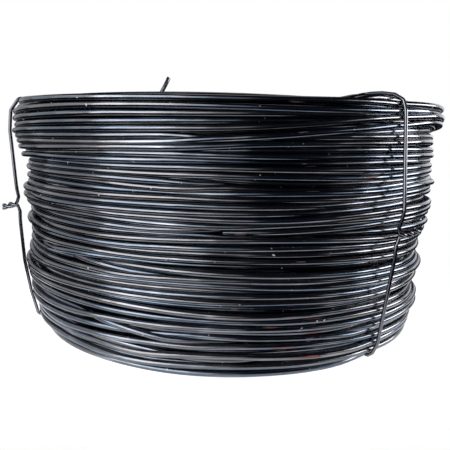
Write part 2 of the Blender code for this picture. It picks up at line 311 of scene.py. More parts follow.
for where, levels, depth in STRETCHES:
    offset = degrees_apart(azimuths, 0.5 * (where[0] + where[-1]))
    place = offset + 0.5 * (where[0] + where[-1])
    height = np.interp(place, where, np.array(levels) * MM)
    into = np.minimum(place - where[0], where[-1] - place)
    sunk = np.clip(1.0 - into / RISE, 0.0, 1.0) ** 2 * SINK + depth
    radius = side_radius(height, azimuths) - sunk * MM - WIRE / 2
    radii.append(np.where(into >= 0.0, radius, np.nan))
    heights.append(height)
add_layer("stretches", radii, heights)

# %% [markdown]
# ## The ends, the bore and the layer beneath
# On the ends the turns lie side by side like the grooves of a record, and on the bore they
# climb like a screw. A second layer under all of them fills the gaps, as in the real winding.

# %% Ends, bore and buried layers
END_REACH = 40.0
ONWARD_SHARE = 0.6
FIRM = 0.8
BURIED_TURNS = 39
BURIED_TOP, BURIED_FOOT = 60.0, 2.0
BURIED_DEPTH = 2.7 * MM


def lay_between(name, start, end, turns, uneven, firmness=0.0):
    """Turns from one (radius, height) in mm to another, with some unevenness in mm."""
    share = (np.arange(turns)[:, None] + turned) / turns
    radius = (start[0] + (end[0] - start[0]) * share) * MM
    height = (start[1] + (end[1] - start[1]) * share) * MM
    across = wander(turns, END_REACH) * uneven * MM
    onward = wander(turns, END_REACH) * ONWARD_SHARE * uneven * MM
    level = abs(end[1] - start[1]) < abs(end[0] - start[0])
    add_layer(name, radius + (onward if level else across),
              height + (across if level else onward), firmness)


lay_between("upper_end", (61.9, 61.1), (46.2, 61.15), 11, 0.22)
lay_between("bore", (44.85, 60.9), (44.85, 1.0), 40, 0.12)
lay_between("lower_end", (46.3, 0.85), (56.6, 0.85), 7, 0.08)
lay_between("upper_end_buried", (60.8, 59.7), (47.0, 59.7), 9, 0.05, FIRM)
lay_between("bore_buried", (46.2, 59.8), (46.2, 2.2), 38, 0.05, FIRM)
lay_between("lower_end_buried", (47.4, 2.2), (55.8, 2.2), 6, 0.05, FIRM)
share = (np.arange(BURIED_TURNS)[:, None] + turned) / BURIED_TURNS
heights = (BURIED_TOP - (BURIED_TOP - BURIED_FOOT) * share) * MM
add_layer("side_buried", side_radius(heights, azimuths) - BURIED_DEPTH - WIRE / 2, heights, FIRM)

# %% [markdown]
# ## The pull of the ties
# A tie is drawn tight, so it gathers the end turns: at each tie the foot is drawn in and
# lifted a little, and at all but the left one the rim is drawn in too. The same pull moves
# every layer, and it fades out on both sides of the tie.

# %% Draw the layers in at the ties
TIE_AZIMUTHS = {"tie_front_right": 39.5, "tie_back_right": 129.0, "tie_back_left": 206.0,
                "tie_left": 294.0}
RIM_SHARES = {"tie_front_right": 1.0, "tie_back_right": 0.8, "tie_back_left": 0.8,
              "tie_left": 0.0}
PULL_WIDTH = 7.0
PULL_HEIGHT = 9.0 * MM
RIM_PULL = 2.0 * MM
FOOT_PULL = 0.2 * MM
FOOT_LIFT = 0.45 * MM

names = list(layers)
counts = [len(layers[name][0]) for name in names]
radius = np.concatenate([layers[name][0] for name in names])
height = np.concatenate([layers[name][1] for name in names])
firmness = np.concatenate([np.full(c, layers[n][2]) for n, c in zip(names, counts)])[:, None]
low = np.clip(1.0 - height / PULL_HEIGHT, 0.0, None) ** 2
high = np.clip(1.0 - (COIL_HEIGHT - height) / PULL_HEIGHT, 0.0, None) ** 2
outer = np.clip((radius - BORE_RADIUS) / (WIDEST - BORE_RADIUS), 0.0, None) ** 2
for tie_name, azimuth in TIE_AZIMUTHS.items():
    pull = np.exp(-(degrees_apart(azimuths, azimuth) / PULL_WIDTH) ** 2)
    rim_pull = pull * RIM_SHARES[tie_name]
    radius = radius - (rim_pull * RIM_PULL * high + pull * FOOT_PULL * low) * outer
    height = height + pull * FOOT_LIFT * low
print("turns in all:", len(radius))

# %% [markdown]
# ## Let the turns settle
# Two wires can't share a place. In every upright plane through the axis the wires are discs,
# and discs that overlap push each other apart. After each push the changes are smoothed along
# the wire, because steel doesn't bend sharply. After some rounds the turns lie in each other's
# valleys, and a wire that crosses others rides over them. Where a stretch has no wire, its
# place is kept far away, so that it pushes nothing.

# %% Settle
ROUNDS = 90
STEP = 0.45
HOMING = 0.04
NEAR = 2.2 * WIRE
TINY = 1e-7
ABSENT = 10.0
LEAST_RADIUS, GREATEST_RADIUS = BORE_RADIUS + 0.3 * WIRE, WIDEST - WIRE / 2
LOWEST, HIGHEST = WIRE / 2, COIL_HEIGHT + 1.2 * MM
present = np.isfinite(radius)
radius = np.where(present, radius, ABSENT)
wanted_radius = radius.copy()
wanted_height = height.copy()
first, second = [], []
for turn in range(len(radius)):
    apart = np.hypot(radius - radius[turn], height - height[turn]).min(axis=1)
    near = [other for other in np.flatnonzero(apart < NEAR) if other > turn]
    first += [turn] * len(near)
    second += near
first, second = np.array(first), np.array(second)
give = 1.0 - firmness
share_first = give[first] / (give[first] + give[second])


def smoothed_along(change):
    """A change of place, evened out along the wire."""
    line = change.ravel()
    padded = np.concatenate([line[:1], line, line[-1:]])
    return ((padded[:-2] + 2.0 * line + padded[2:]) / 4.0).reshape(change.shape)


for _ in range(ROUNDS):
    across = radius[first] - radius[second]
    upward = height[first] - height[second]
    distance = np.hypot(across, upward) + TINY
    push = STEP * np.clip(WIRE - distance, 0.0, None) / distance
    move_radius = np.zeros_like(radius)
    move_height = np.zeros_like(height)
    np.add.at(move_radius, first, across * push * share_first)
    np.add.at(move_height, first, upward * push * share_first)
    np.add.at(move_radius, second, -across * push * (1.0 - share_first))
    np.add.at(move_height, second, -upward * push * (1.0 - share_first))
    off_radius = radius + move_radius - wanted_radius
    off_height = height + move_height - wanted_height
    radius = wanted_radius + smoothed_along(off_radius) * (1.0 - HOMING)
    height = wanted_height + smoothed_along(off_height) * (1.0 - HOMING)
    radius = np.where(present, np.clip(radius, LEAST_RADIUS, GREATEST_RADIUS), ABSENT)
    height = np.clip(height, LOWEST, HIGHEST)
distance = np.hypot(radius[first] - radius[second], height[first] - height[second])
print("deepest overlap left in mm:", round((WIRE - distance.min()) / MM, 2))
print("overlaps over a tenth of a wire:", int((distance < 0.9 * WIRE).sum()), "of", distance.size)

settled = {}
start = 0
for name, count in zip(names, counts):
    settled[name] = (radius[start:start + count], height[start:start + count])
    start += count

# %% [markdown]
# ## A wire along a path
# One Geometry Nodes tree makes every wire here. It turns a row of points into a curve, carries a
# circle along it, and stores two things that the finish needs: how far along the wire a point
# is, and which way it faces in the wire's section. The gauge and the number of sides are
# named inputs.

# %% Geometry Nodes tree
TURN_SIDES, BURIED_SIDES, FREE_END_SIDES, TIE_SIDES = 10, 6, 16, 12


def computed(tree, operation, *values):
    """A math node; each value is a socket or a number."""
    node = tree.nodes.new("ShaderNodeMath")
    node.operation = operation
    for value, socket in zip(values, node.inputs):
        if isinstance(value, float):
            socket.default_value = value
        else:
            tree.links.new(value, socket)
    return node.outputs[0]


def wire_tree():
    tree = bpy.data.node_groups.new("Wire along a path", "GeometryNodeTree")
    sockets = tree.interface
    sockets.new_socket("Geometry", in_out="INPUT", socket_type="NodeSocketGeometry")
    gauge = sockets.new_socket("Gauge", in_out="INPUT", socket_type="NodeSocketFloat")
    gauge.default_value = WIRE
    sides = sockets.new_socket("Sides", in_out="INPUT", socket_type="NodeSocketInt")
    sides.default_value = TURN_SIDES
    sockets.new_socket("Finish", in_out="INPUT", socket_type="NodeSocketMaterial")
    sockets.new_socket("Geometry", in_out="OUTPUT", socket_type="NodeSocketGeometry")
    nodes, links = tree.nodes, tree.links
    entry = nodes.new("NodeGroupInput")
    result = nodes.new("NodeGroupOutput")
    to_curve = nodes.new("GeometryNodeMeshToCurve")
    along = nodes.new("GeometryNodeStoreNamedAttribute")
    along.inputs["Name"].default_value = "along"
    spline = nodes.new("GeometryNodeSplineParameter")
    half = computed(tree, "MULTIPLY", entry.outputs["Gauge"], 0.5)
    circle = nodes.new("GeometryNodeCurvePrimitiveCircle")
    facing = nodes.new("GeometryNodeStoreNamedAttribute")
    facing.data_type = "FLOAT_VECTOR"
    facing.inputs["Name"].default_value = "facing"
    position = nodes.new("GeometryNodeInputPosition")
    direction = nodes.new("ShaderNodeVectorMath")
    direction.operation = "NORMALIZE"
    sweep = nodes.new("GeometryNodeCurveToMesh")
    sweep.inputs["Fill Caps"].default_value = True
    smooth = nodes.new("GeometryNodeSetShadeSmooth")
    realize = nodes.new("GeometryNodeRealizeInstances")
    finish = nodes.new("GeometryNodeSetMaterial")
    links.new(entry.outputs["Geometry"], to_curve.inputs["Mesh"])
    links.new(to_curve.outputs["Curve"], along.inputs["Geometry"])
    links.new(spline.outputs["Length"], along.inputs["Value"])
    links.new(entry.outputs["Sides"], circle.inputs["Resolution"])
    links.new(half, circle.inputs["Radius"])
    links.new(circle.outputs["Curve"], facing.inputs["Geometry"])
    links.new(position.outputs[0], direction.inputs[0])
    links.new(direction.outputs[0], facing.inputs["Value"])
    links.new(along.outputs["Geometry"], sweep.inputs["Curve"])
    links.new(facing.outputs["Geometry"], sweep.inputs["Profile Curve"])
    links.new(sweep.outputs["Mesh"], smooth.inputs["Geometry"])
    links.new(smooth.outputs["Geometry"], realize.inputs["Geometry"])
    links.new(realize.outputs["Geometry"], finish.inputs["Geometry"])
    links.new(entry.outputs["Finish"], finish.inputs["Material"])
    links.new(finish.outputs["Geometry"], result.inputs["Geometry"])
    return tree


WIRE_TREE = wire_tree()

# %% [markdown]
# ## From paths to finished pieces
# A helper joins the points of each path by edges, runs the tree on them and keeps the result
# as a plain mesh, with nothing live left on the piece.

# %% Helper for pieces
SHARP_ANGLE = math.radians(55)


def set_input(modifier, name, value):
    """Sets a tree's input by its name, through the socket's identifier."""
    for item in modifier.node_group.interface.items_tree:
        if item.item_type == "SOCKET" and item.in_out == "INPUT" and item.name == name:
            modifier[item.identifier] = value
            return
    raise KeyError(name)


def wire_piece(name, paths, gauge, sides, finish):
    """A piece of wire, or several, along rows of points."""
    points = np.concatenate(paths)
    edges = []
    start = 0
    for path in paths:
        row = np.arange(start, start + len(path) - 1)
        edges.append(np.stack([row, row + 1], axis=1))
        start += len(path)
    mesh = bpy.data.meshes.new(name + "_path")
    mesh.from_pydata(points.tolist(), np.concatenate(edges).tolist(), [])
    guide = bpy.data.objects.new(name + "_path", mesh)
    bpy.context.scene.collection.objects.link(guide)
    modifier = guide.modifiers.new("wire", "NODES")
    modifier.node_group = WIRE_TREE
    set_input(modifier, "Gauge", gauge)
    set_input(modifier, "Sides", sides)
    set_input(modifier, "Finish", finish)
    graph = bpy.context.evaluated_depsgraph_get()
    made = bpy.data.meshes.new_from_object(guide.evaluated_get(graph), depsgraph=graph)
    made.name = name
    bpy.data.objects.remove(guide, do_unlink=True)
    piece = bpy.data.objects.new(name, made)
    bpy.context.scene.collection.objects.link(piece)
    made.set_sharp_from_angle(angle=SHARP_ANGLE)
    made.calc_loop_triangles()
    print(f"{name}: {len(made.loop_triangles)} triangles")
    return piece


def on_coil(radius, height, azimuth):
    """Points in metres from radii, heights and azimuths."""
    angle = np.radians(azimuth)
    return np.stack([radius * np.sin(angle), -radius * np.cos(angle), height + 0.0 * angle], axis=-1)


# %% [markdown]
# ## The finish of annealed steel
# Annealing leaves a thin black oxide with a cold, blue cast. It is glossier where the wire
# rubbed against its neighbours, and it has faint lines along the wire from the drawing die.
# Those effects are shader groups, because both gauges of wire show them in other amounts.

# %% Shader groups


def shader_group(name, inputs, outputs):
    """An empty shader group with named sockets, and its nodes to work with."""
    group = bpy.data.node_groups.new(name, "ShaderNodeTree")
    for title, kind, value in inputs:
        socket = group.interface.new_socket(title, in_out="INPUT", socket_type=kind)
        socket.default_value = value
    for title, kind in outputs:
        group.interface.new_socket(title, in_out="OUTPUT", socket_type=kind)
    return group, group.nodes.new("NodeGroupInput"), group.nodes.new("NodeGroupOutput")


def noise_node(group, vector, scale, detail, roughness=0.5):
    """Noise from 0 to 1; a larger scale makes smaller patches."""
    node = group.nodes.new("ShaderNodeTexNoise")
    node.inputs["Scale"].default_value = scale
    node.inputs["Detail"].default_value = detail
    node.inputs["Roughness"].default_value = roughness
    group.links.new(vector, node.inputs["Vector"])
    return node.outputs["Fac"]


def ranged(group, value, low, high):
    """A soft step: 0 below low and 1 above high."""
    node = group.nodes.new("ShaderNodeMapRange")
    node.interpolation_type = "SMOOTHSTEP"
    node.inputs["From Min"].default_value = low
    node.inputs["From Max"].default_value = high
    group.links.new(value, node.inputs["Value"])
    return node.outputs["Result"]


def mixed(group, factor, first, second):
    """Colour mix; first and second are sockets or colours."""
    node = group.nodes.new("ShaderNodeMix")
    node.data_type = "RGBA"
    group.links.new(factor, node.inputs["Factor"])
    for value, socket in ((first, node.inputs["A"]), (second, node.inputs["B"])):
        if isinstance(value, tuple):
            socket.default_value = (*value, 1.0)
        else:
            group.links.new(value, socket)
    return node.outputs["Result"]


def wire_vector(group, stretch):
    """Coordinates that follow the wire: stretched metres along it, and how the surface faces."""
    along = group.nodes.new("ShaderNodeAttribute")
    along.attribute_name = "along"
    facing = group.nodes.new("ShaderNodeAttribute")
    facing.attribute_name = "facing"
    parts = group.nodes.new("ShaderNodeSeparateXYZ")
    join = group.nodes.new("ShaderNodeCombineXYZ")
    scaled = computed(group, "MULTIPLY", along.outputs["Fac"], stretch)
    group.links.new(facing.outputs["Vector"], parts.inputs[0])
    group.links.new(scaled, join.inputs["X"])
    group.links.new(parts.outputs["X"], join.inputs["Y"])
    group.links.new(parts.outputs["Y"], join.inputs["Z"])
    return join.outputs[0]


def place_vector(group):
    """Coordinates in space, in metres."""
    return group.nodes.new("ShaderNodeTexCoord").outputs["Object"]


# %% [markdown]
# ## Three effects
# The first is the oxide: cold and warm stretches of film, and brighter marks where the wire
# was rubbed. The second is the fine lines of the die. The third lays rust and dust on top.

# %% Oxide, drawing lines, rust and dust
COLOUR, NUMBER = "NodeSocketColor", "NodeSocketFloat"
GRAIN_SHARE = 0.35
RUST_COLOUR = (0.22, 0.065, 0.05)
DUST_COLOUR = (0.55, 0.54, 0.52)


def oxide_group():
    """The colour and roughness of the oxide film."""
    group, entry, result = shader_group(
        "Black oxide",
        [("Film", COLOUR, (0.10, 0.11, 0.13, 1.0)), ("Warm film", COLOUR, (0.13, 0.12, 0.12, 1.0)),
         ("Rubbed", COLOUR, (0.28, 0.29, 0.32, 1.0)), ("Dull", NUMBER, 0.23),
         ("Bright", NUMBER, 0.14)],
        [("Colour", COLOUR), ("Roughness", NUMBER)])
    patches = noise_node(group, place_vector(group), scale=110.0, detail=3.0)
    patches = ranged(group, patches, low=0.42, high=0.66)
    streaks = noise_node(group, wire_vector(group, stretch=55.0), scale=1.6, detail=3.0)
    streaks = ranged(group, streaks, low=0.40, high=0.70)
    rubbed = computed(group, "MULTIPLY", patches, streaks)
    tints = noise_node(group, wire_vector(group, stretch=16.0), scale=0.8, detail=1.0)
    tints = ranged(group, tints, low=0.42, high=0.60)
    film = mixed(group, tints, entry.outputs["Film"], entry.outputs["Warm film"])
    colour = mixed(group, rubbed, film, entry.outputs["Rubbed"])
    rough = group.nodes.new("ShaderNodeMix")
    group.links.new(streaks, rough.inputs["Factor"])
    group.links.new(entry.outputs["Dull"], rough.inputs["A"])
    group.links.new(entry.outputs["Bright"], rough.inputs["B"])
    group.links.new(colour, result.inputs["Colour"])
    group.links.new(rough.outputs["Result"], result.inputs["Roughness"])
    return group


def drawing_group():
    """Fine lines along the wire, as a height for bump."""
    group, entry, result = shader_group("Drawing lines", [("Depth", NUMBER, 1.0)],
                                        [("Height", NUMBER)])
    lines = noise_node(group, wire_vector(group, stretch=18.0), scale=7.0, detail=4.0, roughness=0.6)
    grain = noise_node(group, place_vector(group), scale=2600.0, detail=2.0)
    total = computed(group, "MULTIPLY_ADD", grain, GRAIN_SHARE, lines)
    height = computed(group, "MULTIPLY", total, entry.outputs["Depth"])
    group.links.new(height, result.inputs["Height"])
    return group


def speck_group():
    """Rust dabs and dust specks over a colour."""
    group, entry, result = shader_group(
        "Rust and dust",
        [("Colour", COLOUR, (0.0, 0.0, 0.0, 1.0)), ("Rust", NUMBER, 0.7), ("Dust", NUMBER, 1.0)],
        [("Colour", COLOUR), ("Loose", NUMBER)])
    where = place_vector(group)
    area = ranged(group, noise_node(group, where, scale=45.0, detail=2.0), low=0.54, high=0.59)
    dab = noise_node(group, wire_vector(group, stretch=100.0), scale=1.1, detail=2.0)
    dab = ranged(group, dab, low=0.66, high=0.70)
    rust = computed(group, "MULTIPLY", area, dab)
    rust_share = computed(group, "MULTIPLY", rust, entry.outputs["Rust"])
    rusty = mixed(group, rust_share, entry.outputs["Colour"], RUST_COLOUR)
    speck = ranged(group, noise_node(group, where, scale=1300.0, detail=0.0), low=0.84, high=0.89)
    dust_share = computed(group, "MULTIPLY", speck, entry.outputs["Dust"])
    dusty = mixed(group, dust_share, rusty, DUST_COLOUR)
    loose = computed(group, "MAXIMUM", rust_share, dust_share)
    group.links.new(dusty, result.inputs["Colour"])
    group.links.new(loose, result.inputs["Loose"])
    return group


OXIDE, DRAWING, SPECKS = oxide_group(), drawing_group(), speck_group()

# %% [markdown]
# ## Two materials
# The coil's wire and the tie wire share the groups. The tie wire is a little rougher, with
# less rust and dust. Rust and dust aren't metal, so where they lie the steel turns dull.

# %% Materials
LOOSE_METALLIC = 0.1
LOOSE_ROUGHNESS = 0.75
BUMP_STRENGTH = 0.25
BUMP_DISTANCE = 0.02 * MM


def placed(material, group, values):
    """A shader group set into a material, with its values."""
    node = material.node_tree.nodes.new("ShaderNodeGroup")
    node.node_tree = group
    for title, value in values.items():
        node.inputs[title].default_value = value
    return node


def steel(name, film, warm, rubbed, dull, bright, rust, dust, depth):
    """Black steel: film colours, the rubbed colour, two roughnesses and the effects' shares."""
    material = bpy.data.materials.new(name)
    material.use_nodes = True
    nodes, links = material.node_tree.nodes, material.node_tree.links
    shader = nodes["Principled BSDF"]
    oxide = placed(material, OXIDE, {"Film": (*film, 1.0), "Warm film": (*warm, 1.0),
                                     "Rubbed": (*rubbed, 1.0), "Dull": dull, "Bright": bright})
    specks = placed(material, SPECKS, {"Rust": rust, "Dust": dust})
    drawing = placed(material, DRAWING, {"Depth": depth})
    links.new(oxide.outputs["Colour"], specks.inputs["Colour"])
    links.new(specks.outputs["Colour"], shader.inputs["Base Color"])
    metal = nodes.new("ShaderNodeMapRange")
    metal.inputs["To Min"].default_value = 1.0
    metal.inputs["To Max"].default_value = LOOSE_METALLIC
    links.new(specks.outputs["Loose"], metal.inputs["Value"])
    links.new(metal.outputs["Result"], shader.inputs["Metallic"])
    rough = nodes.new("ShaderNodeMix")
    links.new(specks.outputs["Loose"], rough.inputs["Factor"])
    links.new(oxide.outputs["Roughness"], rough.inputs["A"])
    rough.inputs["B"].default_value = LOOSE_ROUGHNESS
    links.new(rough.outputs["Result"], shader.inputs["Roughness"])
    bump = nodes.new("ShaderNodeBump")
    bump.inputs["Strength"].default_value = BUMP_STRENGTH
    bump.inputs["Distance"].default_value = BUMP_DISTANCE
    links.new(drawing.outputs["Height"], bump.inputs["Height"])
    links.new(bump.outputs["Normal"], shader.inputs["Normal"])
    return material


COIL_STEEL = steel("annealed_coil_steel", film=(0.099, 0.123, 0.156), warm=(0.144, 0.141, 0.148),
                   rubbed=(0.27, 0.28, 0.31), dull=0.20, bright=0.12, rust=0.9, dust=1.0,
                   depth=1.0)
TIE_STEEL = steel("annealed_tie_steel", film=(0.112, 0.124, 0.150), warm=(0.130, 0.130, 0.140),
                  rubbed=(0.29, 0.30, 0.33), dull=0.22, bright=0.15, rust=0.3, dust=0.6,
                  depth=0.8)

# %% [markdown]
# ## The turns as pieces
# Every settled layer is an unbroken wire of many turns, and each stretch is a short wire of
# its own. The side and its stretches are one piece, and so are the four buried layers.

# %% Lay the turns
BURIED_STEP = 2


def layer_paths(name, step=1):
    """A layer's points as one path; a stretch that comes and goes has its own path."""
    radius, height = settled[name]
    around = np.broadcast_to(azimuths, radius.shape)
    if name != "stretches":
        return [on_coil(radius, height, around).reshape(-1, 3)[::step]]
    paths = []
    for row in range(len(radius)):
        there = radius[row] < ABSENT
        order = np.argsort(degrees_apart(azimuths[there], np.mean(STRETCHES[row][0])))
        paths.append(on_coil(radius[row], height[row], azimuths)[there][order])
    return paths


VISIBLE = {"outer_turns": ("side", "stretches"), "upper_end_turns": ("upper_end",),
           "bore_turns": ("bore",), "lower_end_turns": ("lower_end",)}
pieces = []
for piece_name, parts in VISIBLE.items():
    paths = [path for part in parts for path in layer_paths(part)]
    pieces.append(wire_piece(piece_name, paths, WIRE, TURN_SIDES, COIL_STEEL))
BURIED = ("upper_end_buried", "bore_buried", "lower_end_buried", "side_buried")
paths = [path for part in BURIED for path in layer_paths(part, BURIED_STEP)]
pieces.append(wire_piece("buried_turns", paths, WIRE, BURIED_SIDES, COIL_STEEL))

# %% [markdown]
# ## The hidden heart of the coil
# Deeper turns can't be seen. One plain turned body stands for them, so that no light comes
# through the gaps. Its section is a ring of corners, each a radius and a height in mm.

# %% Heart of the coil
HEART = ((48.6, 4.4), (54.6, 4.4), (56.6, 9.0), (57.6, 20.0), (57.4, 27.0), (58.2, 40.0),
         (58.4, 50.0), (59.4, 57.6), (48.6, 57.6))
HEART_STEPS = 72
profile = np.array(HEART) * MM
ring_angles = np.arange(HEART_STEPS) * 360.0 / HEART_STEPS
rings = [on_coil(profile[:, 0], profile[:, 1], np.full(len(profile), a)) for a in ring_angles]
corners = len(HEART)
faces = []
for ring in range(HEART_STEPS):
    after = (ring + 1) % HEART_STEPS
    for corner in range(corners):
        beyond = (corner + 1) % corners
        faces.append((ring * corners + corner, after * corners + corner,
                      after * corners + beyond, ring * corners + beyond))
heart_mesh = bpy.data.meshes.new("coil_heart")
heart_mesh.from_pydata(np.concatenate(rings).tolist(), [], faces)
heart_mesh.materials.append(COIL_STEEL)
heart_mesh.update()
heart = bpy.data.objects.new("coil_heart", heart_mesh)
bpy.context.scene.collection.objects.link(heart)
pieces.append(heart)
print("coil_heart:", len(faces), "faces")

# %% [markdown]
# ## The free end
# The innermost end of the wire was never tied down. It comes out from behind the bore's turns,
# leaves the wall, curls up and stands above the coil, where it was cut.

# %% Free end of the wire
EXIT_AZIMUTH, EXIT_HEIGHT = 222.0, 55.5 * MM
TIP_AZIMUTH, TIP_RADIUS, TIP_HEIGHT = 216.5, 37.5 * MM, 77.8 * MM
TIP_LEAN = 0.45
LEAVING, ARRIVING = 9.0 * MM, 9.5 * MM
CURL_POINTS = 48
LEAD_ARC, LEAD_GAP, LEAD_POINTS = 30.0, 2.0, 12
LEAD_DEPTH = 1.6 * MM


def heading(azimuth):
    """Unit vectors outward and along the turns at an azimuth."""
    angle = math.radians(azimuth)
    return (np.array([math.sin(angle), -math.cos(angle), 0.0]),
            np.array([math.cos(angle), math.sin(angle), 0.0]))


root = heading(EXIT_AZIMUTH)[0] * (BORE_RADIUS + WIRE / 2) + [0, 0, EXIT_HEIGHT]
tip_point = heading(TIP_AZIMUTH)[0] * TIP_RADIUS + [0, 0, TIP_HEIGHT]
lean = np.array([0, 0, 1.0]) - heading(TIP_AZIMUTH)[1] * TIP_LEAN
lean /= np.linalg.norm(lean)
guides = (root, root + heading(EXIT_AZIMUTH)[1] * LEAVING, tip_point - lean * ARRIVING, tip_point)
t = np.linspace(0.0, 1.0, CURL_POINTS)[:, None]
curl = (guides[0] * (1 - t) ** 3 + guides[1] * 3 * t * (1 - t) ** 2
        + guides[2] * 3 * t * t * (1 - t) + guides[3] * t ** 3)
lead_azimuths = np.linspace(EXIT_AZIMUTH - LEAD_ARC, EXIT_AZIMUTH - LEAD_GAP, LEAD_POINTS)
quarter = (lead_azimuths - EXIT_AZIMUTH + LEAD_ARC) * 90.0 / LEAD_ARC
sunk = LEAD_DEPTH * np.cos(np.radians(quarter))
lead = on_coil(BORE_RADIUS + WIRE / 2 + sunk, EXIT_HEIGHT, lead_azimuths)
free_path = np.concatenate([lead, curl])
pieces.append(wire_piece("free_wire_end", [free_path], WIRE, FREE_END_SIDES, COIL_STEEL))

# %% [markdown]
# ## The ties
# Each tie is a piece of thinner wire, drawn tight round the winding. A wire drawn tight takes
# the shortest way round the turns that it meets. In the tie's plane the turns are discs, so its
# way is the convex hull of the discs. Its two ends are twisted together outside.

# %% Ties
TIE_WIRE = 0.9 * MM
TWIST_PITCH = 5.4 * MM
TWIST_STEPS = 24
TIE_CLEAR, STRAND_CLEAR, FLOOR_CLEAR = 0.04 * MM, 0.05 * MM, 0.02 * MM
ARC_STEP = 0.25
STRAIGHT_STEP = 2.0 * MM
OUTER_SIDE = 55.0 * MM
NIP_WIDTH = 3.0 * MM
KNOT_GAP = 1.6 * TIE_WIRE


class Tie(NamedTuple):
    """The twist's height in mm, shares of its way outward, along and up, its turns, how many mm
    it draws the tie in, and spots, radius and height in mm, where the tie stands off the coil."""
    name: str
    knot: float
    out: float
    along: float
    up: float
    turns: float
    nip: float
    stands: tuple


HUMP = ((45.0, 61.6), (46.5, 62.5), (48.6, 63.2), (51.6, 63.7), (54.4, 63.8), (57.0, 63.7),
        (59.0, 63.3), (60.2, 62.8), (61.1, 62.0), (61.8, 60.9), (62.2, 59.5), (62.5, 57.5),
        (62.7, 55.0), (64.0, 38.0))
FLAT = ((46.4, 61.5), (52.0, 62.1), (59.0, 61.9))
TIES = (
    Tie("tie_front_right", 32.0, 0.12, 1.0, 0.07, 1.6, 0.6, HUMP),
    Tie("tie_back_right", 33.5, 0.07, 1.0, -0.05, 1.7, 0.0, FLAT),
    Tie("tie_back_left", 33.5, 0.07, -1.0, 0.04, 1.7, 0.0, FLAT),
    Tie("tie_left", 34.8, 0.66, -0.72, -0.22, 1.1, 0.4, FLAT),
)


def cross_section(azimuth):
    """Radius and height of every turn in one upright half plane."""
    column = ((azimuth - SEAM) % 360.0) * TURN_POINTS / 360.0
    before = int(column)
    share = column - before
    after = (before + 1) % TURN_POINTS
    spots = []
    for name, (radius, height) in settled.items():
        for row in range(len(radius)):
            if max(radius[row, before], radius[row, after]) < ABSENT:
                spots.append((radius[row, before] * (1 - share) + radius[row, after] * share,
                              height[row, before] * (1 - share) + height[row, after] * share))
    return np.array(spots)


def hull_of(spots):
    """Convex hull, counterclockwise from its lowest left corner."""
    spots = sorted(map(tuple, spots))

    def half(points):
        chain = []
        for p in points:
            while len(chain) > 1:
                (ax, ay), (bx, by) = chain[-2], chain[-1]
                if (bx - ax) * (p[1] - ay) - (by - ay) * (p[0] - ax) > 0:
                    break
                chain.pop()
            chain.append(p)
        return chain[:-1]

    return np.array(half(spots) + half(spots[::-1]))


def taut_path(azimuth, tie):
    """The tie's middle line round the discs and where it stands off, as radius and height."""
    hull = hull_of(np.concatenate([cross_section(azimuth), np.array(tie.stands) * MM]))
    reach = WIRE / 2 + TIE_WIRE / 2 + TIE_CLEAR
    path = []
    for index, corner in enumerate(hull):
        into = corner - hull[index - 1]
        out = hull[(index + 1) % len(hull)] - corner
        start = math.atan2(-into[0], into[1])
        turn = (math.atan2(-out[0], out[1]) - start) % (2 * math.pi)
        arc_steps = max(2, math.ceil(turn / ARC_STEP))
        for step in range(arc_steps + 1):
            angle = start + turn * step / arc_steps
            path.append(corner + reach * np.array([math.cos(angle), math.sin(angle)]))
        length = np.hypot(*out)
        straight_steps = int(length / STRAIGHT_STEP)
        for step in range(1, straight_steps):
            share = step / straight_steps
            path.append(corner + out * share + reach * np.array([out[1], -out[0]]) / length)
    path = np.array(path)
    path[:, 1] = np.maximum(path[:, 1], TIE_WIRE / 2 + FLOOR_CLEAR)
    return path


def tie_path(tie, azimuth):
    """One wire: a strand of the twist, the way round the winding and the other strand."""
    path = taut_path(azimuth, tie)
    knot_height = tie.knot * MM
    outer = path[:, 0] > OUTER_SIDE
    nip = tie.nip * MM * np.exp(-((path[:, 1] - knot_height) / NIP_WIDTH) ** 2)
    path[:, 0] -= np.where(outer, nip, 0.0)
    knot = np.argmin(np.where(outer, np.abs(path[:, 1] - knot_height), 1.0))
    knot_radius = path[knot, 0]
    route = np.roll(path, -knot - 1, axis=0)
    far = np.hypot(route[:, 0] - knot_radius, route[:, 1] - knot_height) > KNOT_GAP
    route = route[far]
    loop = on_coil(route[:, 0], route[:, 1], azimuth)
    strand = (TIE_WIRE + STRAND_CLEAR) / 2
    middle_radius = knot_radius + strand
    steps = np.arange(1, round(tie.turns * TWIST_STEPS) + 2)
    away = steps * TWIST_PITCH / TWIST_STEPS
    way = on_coil(middle_radius + tie.out * away, knot_height + tie.up * away,
                  azimuth + np.degrees(tie.along * away / middle_radius))
    ahead = np.gradient(way, axis=0)
    ahead /= np.linalg.norm(ahead, axis=1)[:, None]
    sideways = np.cross(ahead, [0, 0, 1.0])
    sideways /= np.linalg.norm(sideways, axis=1)[:, None]
    upright = np.cross(sideways, ahead)
    angle = 2 * np.pi * (steps - 1)[:, None] / TWIST_STEPS
    offset = (upright * np.cos(angle) + sideways * np.sin(angle)) * strand
    return np.concatenate([(way + offset)[::-1], loop, way - offset])


for tie in TIES:
    path = tie_path(tie, TIE_AZIMUTHS[tie.name])
    piece = wire_piece(tie.name + "_wire", [path], TIE_WIRE, TIE_SIDES, TIE_STEEL)
    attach(piece, "root")
    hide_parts(tie.name)

# %% [markdown]
# ## What the pieces stand for
# The layers, the heart and the free end are one length of wire, so all of them replace the
# coil's own node. Each tie has replaced its own node above.

# %% The coil's pieces
for piece in pieces:
    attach(piece, "root")
    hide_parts("wire_coil")

# %% [markdown]
# ## The floor
# The coil stands on a white floor. Black steel shows little more than what it mirrors, and
# what it mirrors from below is this floor: a thin pale line under each turn.

